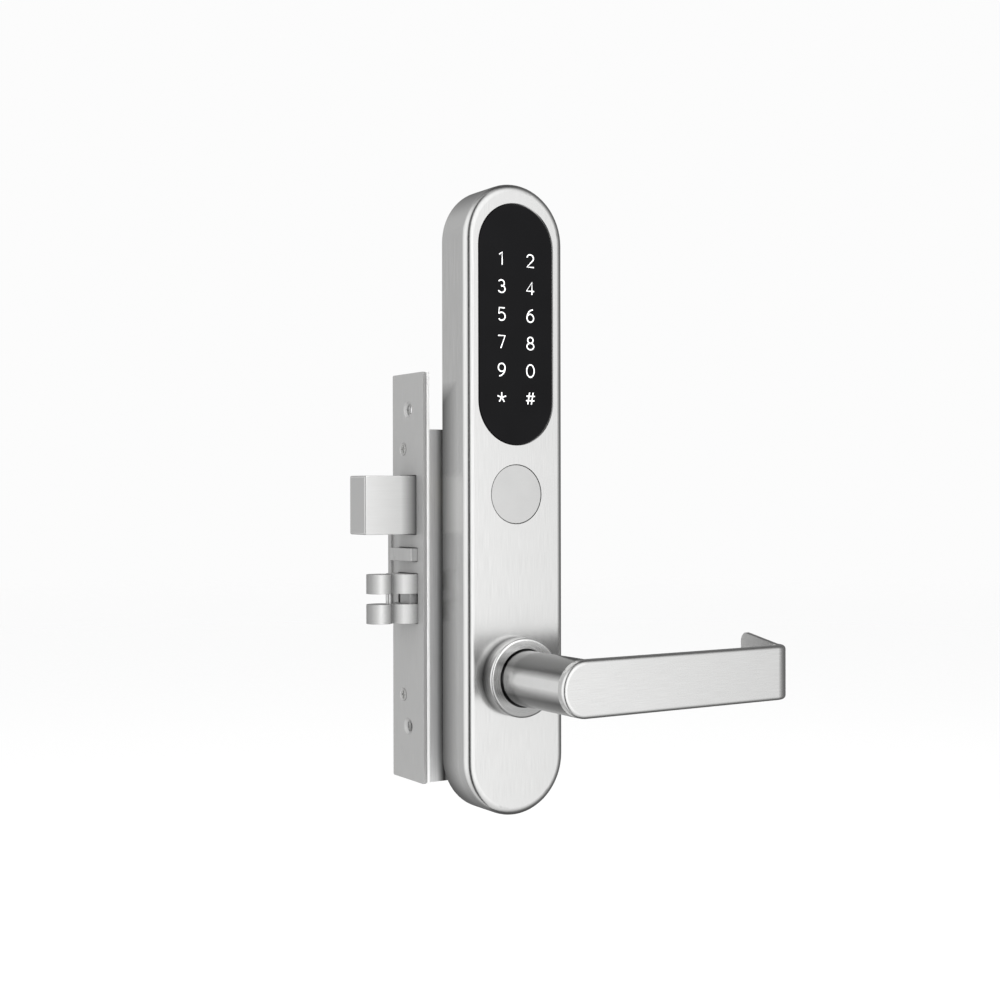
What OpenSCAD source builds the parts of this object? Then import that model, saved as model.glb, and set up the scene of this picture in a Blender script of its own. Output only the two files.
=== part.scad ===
// Keypad smart lock: outside escutcheon with keypad and lever, and its mortise lock.
// The lever's axis on the outer face of the door is the origin. X runs right along
// the lever, Y runs into the door, Z runs up. Millimetres.

/* [Escutcheon] */
// Width of the escutcheon
plate_w = 55.4; // [55:0.2:58]
// Top of the escutcheon above the lever's axis
plate_top = 237; // [236:0.2:246]
// Bottom of the escutcheon below the lever's axis
plate_drop = 67; // [66:0.1:70]
// Depth of the escutcheon, from the door to its front face
plate_d = 24; // [23.5:0.5:26]
// Radius of the escutcheon's front edge
plate_edge_r = 4; // [3:0.5:5]
// Thickness of the escutcheon's sheet
cover_t = 2; // [1.6:0.2:2.2]
// Thickness of the gasket on the door
gasket_t = 0.8; // [0.6:0.1:1]

/* [Keypad] */
// Radius of the glass's round ends
glass_r = 20.8; // [20:0.2:21]
// Height of the centre of the glass's lower end
glass_low_z = 132.5; // [131:0.5:134]
// Height of the centre of the glass's upper end
glass_high_z = 206.2; // [204:0.2:207]
// Thickness of the glass
glass_t = 2.5; // [2:0.1:2.6]
// Distance between two rows of keys
key_row_pitch = 13.3; // [12.6:0.1:13.6]
// Distance between the two columns of keys
key_column_pitch = 16.4; // [15:0.2:17]

/* [Lever] */
// Radius of the lever's neck and half the height of its blade
neck_r = 13.3; // [12.8:0.1:13.3]
// Distance from the door to the lever's front face
lever_reach = 83; // [80:1:88]
// Distance from the axis to the lever's outer end
lever_l = 124.2; // [110:0.2:125]
// Thickness of the lever's blade
blade_t = 4.6; // [4:0.2:5]
// Length of the return at the lever's end
return_l = 34; // [24:1:36]
// How far the return's tip stands above and below the blade
return_flare = 4.5; // [1:0.5:5]
// Radius of the bend between the blade and the return
blade_bend_r = 10; // [8:0.5:12]
// Radius of the blade's front edge
blade_edge_r = 2; // [1:0.1:2.4]
// Radius of the rose collar
rose_r = 19.1; // [18.6:0.1:20]
// Height of the rose collar above the escutcheon
rose_h = 7.5; // [6.5:0.5:8]
// Turn of the lever, in degrees
lever_turn = 45; // [40:1:45]

/* [Key cylinder] */
// Height of the cylinder's axis above the lever's axis
key_z = 87.7; // [86:0.1:89]
// Radius of the round cap over the cylinder
cap_r = 14.2; // [13.8:0.1:14.4]
// Radius of the cylinder's plug
plug_r = 6.5; // [6:0.1:6.6]

/* [Mortise] */
// Backset, from the faceplate's face to the lever's axis
backset = 30; // [29.5:0.5:31]
// Distance from the door's outer face to the middle of the mortise
mortise_y = 30; // [29:0.5:32]
// Width of the faceplate
faceplate_w = 31.75; // [31:0.25:33]
// Height of the faceplate
faceplate_h = 203.2; // [203:0.1:206]
// Bottom of the faceplate below the lever's axis
faceplate_drop = 55; // [54.5:0.5:56]
// Thickness of the faceplate
faceplate_t = 1.5; // [1.4:0.1:1.6]
// Distance between the two fixing holes of the faceplate
fixing_pitch = 158.4; // [157:0.2:160]
// Radius of the fixing holes
fixing_r = 2.7; // [2.5:0.1:2.8]
// Thickness of the lock case
case_w = 25.4; // [25:0.1:26]
// Depth of the lock case behind the lever's axis
case_rear = 36; // [35:0.5:38]
// Top of the lock case above the lever's axis
case_top = 120; // [119:0.5:121]
// Thickness of the case's sheet
case_t = 1.5; // [1.2:0.1:1.6]

/* [Bolts] */
// Height of the deadbolt
bolt_h = 29; // [28:0.5:30]
// Thickness of the deadbolt
bolt_w = 17; // [15:0.5:17]
// Height of the deadbolt's middle above the lever's axis
bolt_z = 82.5; // [82:0.1:83]
// Radius of the cam pin's path, which sets the deadbolt's throw
cam_r = 20; // [19.5:0.1:20]
// Height of the latch's middle above the lever's axis
latch_z = 36; // [35.5:0.1:36.5]
// Throw of the latch
latch_throw = 22.5; // [21:0.5:22.5]
// Thickness of each latch plate
latch_t = 9.6; // [9:0.1:10]
// Gap between the two latch plates
latch_gap = 5.2; // [4.8:0.1:5.6]

/* [Hidden] */
$fn = 64;

// Escutcheon, worked out from the driving sizes
plate_r = plate_w / 2;
plate_low_z = plate_r - plate_drop;
plate_high_z = plate_top - plate_r;
front_y = -plate_d;
cover_inner_r = plate_r - cover_t;
cover_inner_y = front_y + cover_t;
base_t = 2;
base_front_y = -gasket_t - base_t;
boss_r = 3;
boss_bore_r = 1.25;
boss_spots = [[-20, 104], [20, 104], [-14, -50], [14, -50]];
post_spots = [[0, 150], [19, -40]];
post_r = 4;
post_l = 14;
post_bore_r = 2.1;
post_bore_l = 12;
cable_z = 52;
cable_hole_r = 5;

// Keypad
window_r = glass_r + 0.1;
rim_chamfer = 0.5;
glass_front_y = front_y + 0.1;
glass_back_y = glass_front_y + glass_t;
frame_r = glass_r + 2.6;
frame_wall = 1.5;
frame_lip_r = glass_r - 1.3;
frame_depth = 10;
key_rows = 6;
key_mid_z = (glass_low_z + glass_high_z) / 2 - 2.6;
guide_y = glass_back_y + 0.1;
guide_t = 1.4;
board_t = 1.2;
touch_y = guide_y + guide_t + 0.2;
main_y = touch_y + board_t + 5.3;
main_board_w = 34;
main_board_h = 72;
standoff_spots = [for (x = [-13, 13], z = [-31, 31]) [x, key_mid_z + z]];

// Lever
rose_y = front_y - rose_h;
rose_gap = 0.8;
bush_r = neck_r + 1.35;
cover_lever_r = bush_r + 0.15;
running = 0.05;
neck_rear_y = -14.5;
blade_back_y = blade_t - lever_reach;
blade_front_y = -lever_reach;
return_root_y = blade_front_y + blade_bend_r;
return_tip_y = blade_front_y + return_l;
return_corner_r = 5;
clip_y = -18.3;
clip_t = 1.1;
carrier_t = 2.8;
carrier_r = 17;
stop_path_r = 19;
stop_pin_r = 1.8;
stop_offset = 13.7;
lug_half_angle = 7;
spindle_a = 8;
spindle_front_y = -40;
screw_y = -36;

// Cylinder
cylinder_r = 11;
cylinder_front_y = -19.5;
cylinder_back_y = 13;
cap_hole_r = cap_r + 0.22;

// Mortise
face_x = -backset;
plate_gap = 0.7;
case_front_x = face_x + faceplate_t + plate_gap;
case_front_t = 1.5;
case_x = case_front_x + case_front_t;
case_near_y = mortise_y - case_w / 2;
case_far_y = mortise_y + case_w / 2;
inner_near_y = case_near_y + case_t;
inner_far_y = case_far_y - case_t;
case_bottom = -faceplate_drop;
fixing_mid_z = case_bottom + faceplate_h / 2 + 4.2;
fixing_zs = [fixing_mid_z - fixing_pitch / 2, fixing_mid_z + fixing_pitch / 2];
small_screw_y = mortise_y + 5;
small_screw_zs = [-13, 110.5];
lip_z = [31, 68];
lip_w = 3.2;
lip_proud = 1.2;
pillar_spots = [[-13, 115.2], [29, 112], [29, 66], [29, -8], [29, -48], [-13, -48]];
pillar_r = 2.7;
bolt_hole_r = 5;

// Deadbolt and its cams
bolt_throw = 2 * cam_r * sin(45);
bolt_front_x = face_x - bolt_throw;
bolt_rear_x = -20;
cam_x = -cam_r * sin(45);
cam_z = key_z + cam_r * cos(45);
cam_pin_r = 2;
cam_hub_r = 7;
cam_arm_r = 4;
cam_t = 2;
cam_near_y = inner_near_y + 0.3;
cam_far_y = inner_far_y - 0.3;
tail_t = 2.5;
tail_slot_r = 2.95;
tail_x0 = bolt_rear_x - 7;
rivet_r = 1.5;
rivet_x = bolt_rear_x - 3.5;
rivet_zs = [key_z - 1.2, key_z + 5.8];

// Latch
latch_nose_r = 6.4;
latch_nose_x = face_x - 16.2;
latch_base_r = 10;
latch_base_x = face_x - 1.3;
latch_root_x = -20;
latch_low_z = latch_z - latch_gap / 2 - latch_t;
latch_high_z = latch_z + latch_gap / 2 + latch_t;
latch_pin_x = face_x - 10.7;
latch_pin_r = 1.7;
tube_r = 3.4;
tube_bore_r = 2.7;
tube_rear_x = 8;
tube_bore_x = latch_root_x + 1;
lug_x = 4;
case_rear_x = case_rear - case_t;

// Auxiliary latch
aux_z = 57.8;
aux_h = 6.4;
aux_half_w = 9.5;
aux_near_out = 3.4;
aux_far_out = 5.5;
aux_rear_x = -20;
aux_rod_r = 2;
bracket_x = -4;

// Follower and clutch
follower_r = 13;
journal_r = 8;
ring_bore_r = 10.6;
clutch_hub_r = 10.5;
clutch_y = mortise_y - 8.5;
clutch_pin_r = 2;
clutch_travel = 2.5;
follower_near_y = 24;
arm_r = 3;
arm_reach = 28.5;
slider_arc_r = 16.6;
slider_arc_z = 3;
motor_y = 29;
motor_r = 6;
motor_l = 15;
motor_z = case_bottom + case_t + 1;
worm_r = 1.5;

// A block between two corners
module block(x, y, z) {
    translate([x[0], y[0], z[0]])
        cube([x[1] - x[0], y[1] - y[0], z[1] - z[0]]);
}

// Extrudes an outline drawn in X and Z from y0 to y1
module slab(y0, y1) {
    translate([0, y1, 0])
        rotate([90, 0, 0])
            linear_extrude(height = y1 - y0)
                children();
}

// A round rod along Y
module rod_y(r, y0, y1, x = 0, z = 0) {
    translate([x, y1, z])
        rotate([90, 0, 0])
            cylinder(r = r, h = y1 - y0);
}

// A round rod along X
module rod_x(r, x0, x1, y, z) {
    translate([x0, y, z])
        rotate([0, 90, 0])
            cylinder(r = r, h = x1 - x0);
}

// Turns a profile about a Y axis at (x, z). The profile's X is the radius and its Y is y.
module turned(x = 0, z = 0) {
    translate([x, 0, z])
        rotate([-90, 0, 0])
            rotate_extrude()
                children();
}

// Outline of a straight bar with round ends, upright
module pill(r, z_low, z_high) {
    translate([-r, z_low])
        square([2 * r, z_high - z_low]);
    for (z = [z_low, z_high])
        translate([0, z])
            circle(r);
}

// Outline of a rectangle with round corners
module round_rect(x, z, r) {
    translate([x[0] + r, z[0]])
        square([x[1] - x[0] - 2 * r, z[1] - z[0]]);
    translate([x[0], z[0] + r])
        square([x[1] - x[0], z[1] - z[0] - 2 * r]);
    for (cx = [x[0] + r, x[1] - r], cz = [z[0] + r, z[1] - r])
        translate([cx, cz])
            circle(r, $fn = 32);
}

// A pill-shaped body that follows a profile all round its edge. The profile's X is the
// distance from the pill's centre line and its Y is the height in front of y_back.
module edged_pill(z_low, z_high, y_back) {
    translate([0, y_back, 0]) {
        translate([0, 0, z_low])
            linear_extrude(height = z_high - z_low)
                for (side = [0, 1])
                    mirror([side, 0])
                        mirror([0, 1])
                            children();
        translate([0, 0, z_high])
            rotate([90, 0, 0])
                rotate_extrude(angle = 180)
                    children();
        translate([0, 0, z_low])
            rotate([90, 180, 0])
                rotate_extrude(angle = 180)
                    children();
    }
}

// Profile of a plate's edge whose front corner is rounded
module rounded_edge(r, depth, edge) {
    square([r - edge, depth]);
    square([r, depth - edge]);
    translate([r - edge, depth - edge])
        circle(edge);
}

// Profile of a plate's edge whose front corner is cut off
module cut_edge(r, depth, cut) {
    polygon([[0, 0], [r, 0], [r, depth - cut], [r - cut, depth], [0, depth]]);
}

// A countersunk screw along Y, its head's face at y and its shank towards -Y
module flat_screw_y(x, z, y, head_r, shank_r, l) {
    turned(x, z)
        polygon([[0, y], [head_r, y], [head_r, y - 0.3], [shank_r, y - 0.3 - head_r + shank_r],
                 [shank_r, y - l], [0, y - l]]);
}

// One point of a helix's round section: turn a, angle b round the wire, rise per degree k
function helix_point(r, wire, k, a, b) =
    [(r + wire * cos(b)) * cos(a), (r + wire * cos(b)) * sin(a), k * a + wire * sin(b)];

// A coil spring along +Z
module coil(r, wire, l, turns, steps = 12, sides = 6) {
    n = turns * steps;
    k = (l - 2 * wire) / (360 * turns);
    points = [for (i = [0:n], j = [0:sides - 1])
        helix_point(r, wire, k, i * 360 / steps, j * 360 / sides)];
    skin = [for (i = [0:n - 1], j = [0:sides - 1])
        [i * sides + j, i * sides + (j + 1) % sides,
         (i + 1) * sides + (j + 1) % sides, (i + 1) * sides + j]];
    first = [[for (j = [0:sides - 1]) sides - 1 - j]];
    last = [[for (j = [0:sides - 1]) n * sides + j]];
    translate([0, 0, wire])
        polyhedron(points, concat(skin, first, last));
}

// ---- Escutcheon ----

module escutcheon_cover() {
    color("gainsboro")
        difference() {
            union() {
                difference() {
                    edged_pill(plate_low_z, plate_high_z, -gasket_t)
                        rounded_edge(plate_r, plate_d - gasket_t, plate_edge_r);
                    edged_pill(plate_low_z, plate_high_z, 0)
                        rounded_edge(cover_inner_r, -cover_inner_y, plate_edge_r - cover_t);
                }
                for (spot = boss_spots)
                    rod_y(boss_r, cover_inner_y - 0.2, base_front_y, spot[0], spot[1]);
            }
            slab(front_y - 1, cover_inner_y + 1)
                pill(window_r, glass_low_z, glass_high_z);
            edged_pill(glass_low_z, glass_high_z, front_y + rim_chamfer)
                polygon([[0, 0], [window_r, 0], [window_r + 2 * rim_chamfer, 2 * rim_chamfer],
                         [0, 2 * rim_chamfer]]);
            rod_y(cap_hole_r, front_y - 1, cover_inner_y + 1, 0, key_z);
            rod_y(cover_lever_r, front_y - 1, cover_inner_y + 1);
            for (spot = boss_spots)
                rod_y(boss_bore_r, base_front_y - 11, base_front_y + 1, spot[0], spot[1]);
        }
}

module keypad_glass() {
    color("black")
        edged_pill(glass_low_z, glass_high_z, glass_back_y)
            cut_edge(glass_r, glass_t, 0.3);
}

module glass_seal() {
    color("dimgray")
        slab(cover_inner_y, glass_back_y)
            difference() {
                pill(frame_r, glass_low_z, glass_high_z);
                pill(glass_r + 0.05, glass_low_z, glass_high_z);
            }
}

module keypad_frame() {
    color("darkslategray")
        difference() {
            slab(glass_back_y, glass_back_y + frame_depth)
                pill(frame_r, glass_low_z, glass_high_z);
            slab(glass_back_y - 1, glass_back_y + 2)
                pill(frame_lip_r, glass_low_z, glass_high_z);
            slab(glass_back_y + 1, glass_back_y + frame_depth + 1)
                pill(frame_r - frame_wall, glass_low_z, glass_high_z);
        }
}

// The centre of each key, left column then right column, from the top row down
function key_spots() = [for (side = [-1, 1], row = [0:key_rows - 1])
    [side * key_column_pitch / 2, key_mid_z + ((key_rows - 1) / 2 - row) * key_row_pitch]];

module light_guide() {
    color("ghostwhite")
        difference() {
            slab(guide_y, guide_y + guide_t)
                pill(frame_lip_r - 0.2, glass_low_z, glass_high_z);
            for (spot = key_spots())
                rod_y(1.8, guide_y + guide_t - 0.7, guide_y + guide_t + 1, spot[0], spot[1]);
        }
}

module key_leds() {
    color("ivory")
        for (spot = key_spots())
            block([spot[0] - 0.8, spot[0] + 0.8], [touch_y - 0.6, touch_y],
                  [spot[1] - 0.5, spot[1] + 0.5]);
}

module touch_board() {
    color("darkgreen")
        difference() {
            slab(touch_y, touch_y + board_t)
                pill(frame_r - frame_wall - 0.2, glass_low_z, glass_high_z);
            for (spot = standoff_spots)
                rod_y(1.1, touch_y - 1, touch_y + board_t + 1, spot[0], spot[1]);
        }
}

// Four standoffs between the two boards, each with the screw that holds the main board
module board_fasteners() {
    screw_y0 = main_y + board_t;
    for (spot = standoff_spots) {
        color("goldenrod") {
            translate([spot[0], main_y, spot[1]])
                rotate([90, 0, 0])
                    difference() {
                        cylinder(r = 2.2, h = main_y - touch_y - board_t, $fn = 6);
                        translate([0, 0, -1])
                            cylinder(r = 0.9, h = 4);
                    }
            rod_y(1, touch_y, touch_y + board_t, spot[0], spot[1]);
        }
        color("silver") {
            rod_y(1.9, screw_y0, screw_y0 + 1.3, spot[0], spot[1]);
            rod_y(0.85, screw_y0 - board_t - 2.6, screw_y0, spot[0], spot[1]);
        }
    }
}

module main_board() {
    color("green")
        difference() {
            slab(main_y, main_y + board_t)
                round_rect([-main_board_w / 2, main_board_w / 2],
                           [key_mid_z - main_board_h / 2, key_mid_z + main_board_h / 2], 1.5);
            for (spot = standoff_spots)
                rod_y(1.1, main_y - 1, main_y + board_t + 1, spot[0], spot[1]);
        }
}

module board_parts() {
    y = main_y + board_t;
    color("dimgray") {
        block([-6, 6], [y, y + 1.2], [key_mid_z + 6, key_mid_z + 18]);
        block([-10, -4], [y, y + 1], [key_mid_z - 12, key_mid_z - 4]);
        block([2, 11], [y, y + 1], [key_mid_z - 14, key_mid_z - 6]);
        rod_y(5.5, y, y + 3, 0, key_mid_z + 28);
        block([-8, 8], [y, y + 3.6], [key_mid_z - 33, key_mid_z - 27]);
    }
}

module base_plate() {
    color("silver")
        difference() {
            slab(base_front_y, -gasket_t)
                pill(cover_inner_r - 0.15, plate_low_z, plate_high_z);
            rod_y(9, base_front_y - 1, 1);
            rod_y(cylinder_r + 0.3, base_front_y - 1, 1, 0, key_z);
            rod_y(cable_hole_r, base_front_y - 1, 1, 0, cable_z);
            for (spot = post_spots)
                rod_y(post_r + 0.05, base_front_y - 1, 1, spot[0], spot[1]);
            for (spot = boss_spots)
                flat_screw_y(spot[0], spot[1], -gasket_t + 0.01, 2.7, 1.35, 4);
        }
}

module base_gasket() {
    color("dimgray")
        difference() {
            slab(-gasket_t, 0)
                pill(plate_r - 0.6, plate_low_z, plate_high_z);
            rod_y(10, -2, 1);
            rod_y(cylinder_r + 1, -2, 1, 0, key_z);
            rod_y(cable_hole_r + 2, -2, 1, 0, cable_z);
            for (spot = concat(post_spots, boss_spots))
                rod_y(post_r + 1, -2, 1, spot[0], spot[1]);
        }
}

module base_screws() {
    color("silver")
        for (spot = boss_spots)
            difference() {
                flat_screw_y(spot[0], spot[1], -gasket_t - 0.1, 2.55, 1.2, 10);
                block([spot[0] - 1.6, spot[0] + 1.6], [-gasket_t - 0.8, 0],
                      [spot[1] - 0.3, spot[1] + 0.3]);
            }
}

module mounting_posts() {
    color("silver")
        for (spot = post_spots)
            difference() {
                union() {
                    rod_y(post_r, base_front_y - 1.4, post_l, spot[0], spot[1]);
                    rod_y(post_r + 1.5, base_front_y - 1.4, base_front_y, spot[0], spot[1]);
                }
                rod_y(post_bore_r, post_l - post_bore_l, post_l + 1, spot[0], spot[1]);
            }
}

module cable_grommet() {
    r = cable_hole_r;
    color("black")
        turned(0, cable_z)
            polygon([[r - 1.6, 0], [r + 1.4, 0], [r + 1.4, -gasket_t], [r, -gasket_t],
                     [r, base_front_y], [r + 1.4, base_front_y], [r + 1.4, base_front_y - 1],
                     [r - 1.6, base_front_y - 1]]);
}

// ---- Lever ----

module rose_collar() {
    fillet = 1.2;
    bore_r = neck_r + rose_gap;
    color("gainsboro")
        turned()
            difference() {
                union() {
                    translate([bore_r, rose_y])
                        square([rose_r - fillet - bore_r, rose_h]);
                    translate([bore_r, rose_y + fillet])
                        square([rose_r - bore_r, rose_h - fillet]);
                    translate([rose_r - fillet, rose_y + fillet])
                        circle(fillet, $fn = 32);
                }
                translate([0, rose_y + 1.6])
                    square([bush_r + 0.05, rose_h]);
            }
}

module lever_bush() {
    color("black")
        turned() {
            translate([neck_r + running, rose_y + 1.7])
                square([bush_r - neck_r - running, -rose_y - 1.7 - 18.7]);
            translate([neck_r + running, cover_inner_y + 0.1])
                square([4.6, -cover_inner_y - 0.1 - 18.7]);
        }
}

module stop_pins() {
    color("silver")
        for (a = [90 + stop_offset, 90 - lever_turn - stop_offset])
            rod_y(stop_pin_r, neck_rear_y - 1, base_front_y,
                  stop_path_r * cos(a), stop_path_r * sin(a));
}

module return_spring() {
    color("darkgray")
        translate([0, -4.2, 0])
            rotate([90, 0, 0])
                coil(10.4, 0.7, 5, 3, 16);
}

module lever_neck() {
    color("gainsboro")
        difference() {
            rod_y(neck_r, blade_back_y, neck_rear_y);
            rod_y(neck_r - 2.4, blade_back_y - 1, spindle_front_y - 3);
            block([-spindle_a / 2 - running, spindle_a / 2 + running],
                  [spindle_front_y - 0.5, neck_rear_y + 1],
                  [-spindle_a / 2 - running, spindle_a / 2 + running]);
            turned()
                translate([neck_r - 1.3, clip_y - running])
                    square([3, clip_t + 2 * running]);
            translate([0, screw_y, -neck_r - 1])
                cylinder(r = 2.5, h = neck_r);
            for (x = [-9, 9])
                rod_y(1.5, neck_rear_y - 6, neck_rear_y + 1, x);
        }
}

// Section of the blade, its front edges rounded. X is the height and Y the thickness.
module blade_section() {
    for (side = [0, 1])
        mirror([side, 0])
            rounded_edge(neck_r, blade_t, blade_edge_r);
}

// The return: it widens from the bend to its tip, whose corners are round
module lever_return() {
    top = neck_r + return_flare;
    intersection() {
        hull()
            for (end = [[return_root_y, 1], [return_tip_y, top / neck_r]])
                translate([lever_l - blade_t, end[0], 0])
                    scale([1, 1, end[1]])
                        rotate([-90, -90, 0])
                            linear_extrude(height = 0.01)
                                blade_section();
        rotate([90, 0, 90])
            linear_extrude(height = lever_l + 1)
                round_rect([return_root_y - 2 * return_corner_r, return_tip_y], [-top, top],
                           return_corner_r);
    }
}

module lever_blade() {
    color("gainsboro") {
        turned()
            translate([0, blade_back_y])
                mirror([0, 1])
                    rounded_edge(neck_r, blade_t, blade_edge_r);
        translate([0, blade_back_y, 0])
            rotate([180, -90, 0])
                linear_extrude(height = lever_l - blade_bend_r)
                    blade_section();
        translate([lever_l - blade_bend_r, return_root_y, 0])
            rotate([0, 0, -90])
                rotate_extrude(angle = 90)
                    translate([blade_bend_r - blade_t, 0])
                        mirror([1, -1])
                            blade_section();
        lever_return();
    }
}

module lever_clip() {
    color("darkgray")
        slab(clip_y, clip_y + clip_t)
            difference() {
                circle(neck_r + 2.6);
                circle(neck_r - 1.25);
                polygon([[0, 0], [-12, -22], [12, -22]]);
            }
}

module lever_carrier() {
    color("darkgray")
        slab(neck_rear_y, neck_rear_y + carrier_t)
            difference() {
                union() {
                    circle(carrier_r);
                    intersection() {
                        circle(stop_path_r + 2);
                        polygon([[0, 0], [30 * sin(-lug_half_angle), 30],
                                 [30 * sin(lug_half_angle), 30]]);
                    }
                }
                square(spindle_a + 2 * running, center = true);
                for (x = [-9, 9])
                    translate([x, 0])
                        circle(1.6);
            }
}

module carrier_screws() {
    y = neck_rear_y + carrier_t;
    color("silver")
        for (x = [-9, 9]) {
            rod_y(2.6, y, y + 1.6, x);
            rod_y(1.45, y - 7, y, x);
        }
}

module lever_set_screw() {
    color("dimgray")
        translate([0, screw_y, -neck_r + 0.5])
            difference() {
                cylinder(r = 2.45, h = neck_r - 0.5 - spindle_a / 2);
                translate([0, 0, -1])
                    cylinder(r = 1.4, h = 3.5, $fn = 6);
            }
}

module lever_spindle() {
    color("silver")
        block([-spindle_a / 2, spindle_a / 2], [spindle_front_y, follower_near_y - 0.6],
              [-spindle_a / 2, spindle_a / 2]);
}

// ---- Key cylinder ----

module cylinder_body() {
    color("khaki")
        difference() {
            union() {
                rod_y(cylinder_r, cylinder_front_y, cylinder_back_y, 0, key_z);
                rod_y(cylinder_r + 2, cylinder_front_y, cylinder_front_y + 2, 0, key_z);
            }
            rod_y(plug_r + running, cylinder_front_y - 1, cylinder_back_y + 1, 0, key_z);
            turned(0, key_z)
                translate([cylinder_r - 1, base_front_y - 1.6])
                    square([2, 1.5]);
        }
}

module cylinder_clip() {
    color("silver")
        slab(base_front_y - 1.55, base_front_y - 0.15)
            translate([0, key_z])
                difference() {
                    circle(cylinder_r + 3);
                    circle(cylinder_r - 0.95);
                    translate([-cylinder_r + 0.95, -20])
                        square([2 * cylinder_r - 1.9, 20]);
                }
}

module cylinder_cap() {
    color("lightgray") {
        turned(0, key_z)
            polygon([[0, front_y], [cap_r - 0.25, front_y], [cap_r, front_y + 0.25],
                     [cap_r, front_y + 1.8], [0, front_y + 1.8]]);
        turned(0, key_z)
            translate([cap_r - 1.4, front_y + 1.7])
                square([1.1, 2.2]);
    }
}

module key_plug() {
    color("goldenrod")
        difference() {
            rod_y(plug_r, cylinder_front_y - 0.4, 11, 0, key_z);
            block([-1.2, 1.2], [cylinder_front_y - 1, 2], [key_z - 4.6, key_z + 4]);
            block([0.6, 2.2], [cylinder_front_y - 1, 2], [key_z - 1.6, key_z + 0.6]);
            block([-1.3, 1.3], [6, 12], [key_z - 8, key_z + 8]);
        }
}

module cylinder_tailpiece() {
    color("silver")
        block([-1.2, 1.2], [6.1, cam_near_y + cam_t - 0.2], [key_z - 3.9, key_z + 3.9]);
}

// Outline of a cam: a hub, an arm to the cam pin and the slot for a tailpiece
module cam_outline(slot) {
    difference() {
        union() {
            translate([0, key_z])
                circle(cam_hub_r + 2);
            translate([cam_x, cam_z])
                circle(cam_arm_r);
            translate([0, key_z])
                rotate(45)
                    translate([-cam_arm_r, 0])
                        square([2 * cam_arm_r, cam_r]);
        }
        translate([cam_x, cam_z])
            circle(cam_pin_r);
        if (slot)
            translate([-1.3, key_z - 4])
                square([2.6, 8]);
    }
}

module cam_outer() {
    color("darkkhaki") {
        slab(cam_near_y, cam_near_y + cam_t)
            cam_outline(true);
        slab(case_near_y, cam_near_y)
            difference() {
                translate([0, key_z])
                    circle(cam_hub_r);
                translate([-1.3, key_z - 4])
                    square([2.6, 8]);
            }
    }
}

module cam_inner() {
    color("darkkhaki") {
        slab(cam_far_y - cam_t, cam_far_y)
            cam_outline(true);
        slab(cam_far_y, case_far_y)
            difference() {
                translate([0, key_z])
                    circle(cam_hub_r);
                translate([-1.3, key_z - 4])
                    square([2.6, 8]);
            }
    }
}

module cam_pin() {
    color("silver")
        rod_y(cam_pin_r, cam_near_y, cam_far_y, cam_x, cam_z);
}

// ---- Mortise case ----

module faceplate() {
    half_w = faceplate_w / 2;
    color("silver")
        difference() {
            translate([face_x, 0, 0])
                rotate([90, 0, 90])
                    linear_extrude(height = faceplate_t)
                        difference() {
                            round_rect([mortise_y - half_w, mortise_y + half_w],
                                       [case_bottom, case_bottom + faceplate_h], 1);
                            front_openings(0.35);
                            for (z = fixing_zs)
                                translate([mortise_y, z])
                                    circle(fixing_r);
                            for (z = small_screw_zs)
                                translate([small_screw_y, z])
                                    circle(1.6);
                        }
            for (z = fixing_zs)
                translate([face_x - 0.01, mortise_y, z])
                    rotate([0, 90, 0])
                        cylinder(r1 = 4.3, r2 = fixing_r, h = faceplate_t - 0.4);
            for (z = small_screw_zs)
                translate([face_x - 0.01, small_screw_y, z])
                    rotate([0, 90, 0])
                        cylinder(r1 = 3.5, r2 = 1.7, h = 1.2);
        }
}

// The holes for the deadbolt, the auxiliary latch and the latch, drawn in Y and Z
module front_openings(gap) {
    translate([mortise_y - bolt_w / 2 - gap, bolt_z - bolt_h / 2 - gap])
        square([bolt_w + 2 * gap, bolt_h + 2 * gap]);
    translate([mortise_y - aux_half_w - gap, aux_z - aux_h / 2 - gap])
        square([2 * (aux_half_w + gap), aux_h + 2 * gap]);
    translate([mortise_y - latch_base_r - gap, latch_low_z - gap])
        square([2 * (latch_base_r + gap), latch_high_z - latch_low_z + 2 * gap]);
}

module faceplate_screws() {
    color("darkgray")
        for (z = small_screw_zs)
            difference() {
                translate([0, small_screw_y, z])
                    rotate([0, 90, 0])
                        rotate_extrude()
                            polygon([[0, face_x + 0.15], [2.9, face_x + 0.15], [1.5, face_x + 1.2],
                                     [1.5, case_x + 3], [0, case_x + 3]]);
                block([face_x - 1, face_x + 0.7], [small_screw_y - 0.35, small_screw_y + 0.35],
                      [z - 2, z + 2]);
                block([face_x - 1, face_x + 0.7], [small_screw_y - 2, small_screw_y + 2],
                      [z - 0.35, z + 0.35]);
            }
}

module case_front() {
    half_w = faceplate_w / 2 - 0.3;
    color("silver") {
        translate([case_front_x, 0, 0])
            rotate([90, 0, 90])
                linear_extrude(height = case_front_t)
                    difference() {
                        translate([mortise_y - half_w, case_bottom])
                            square([2 * half_w, faceplate_h]);
                        front_openings(0.5);
                        for (z = fixing_zs)
                            translate([mortise_y, z])
                                circle(fixing_r + 0.5);
                        for (z = small_screw_zs)
                            translate([small_screw_y, z])
                                circle(1.55);
                    }
        block([face_x - lip_proud, case_x],
              [mortise_y + faceplate_w / 2 + 0.1, mortise_y + faceplate_w / 2 + lip_w], lip_z);
        block([case_front_x, case_x],
              [mortise_y + half_w - 0.1, mortise_y + faceplate_w / 2 + 0.2], lip_z);
    }
}

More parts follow.
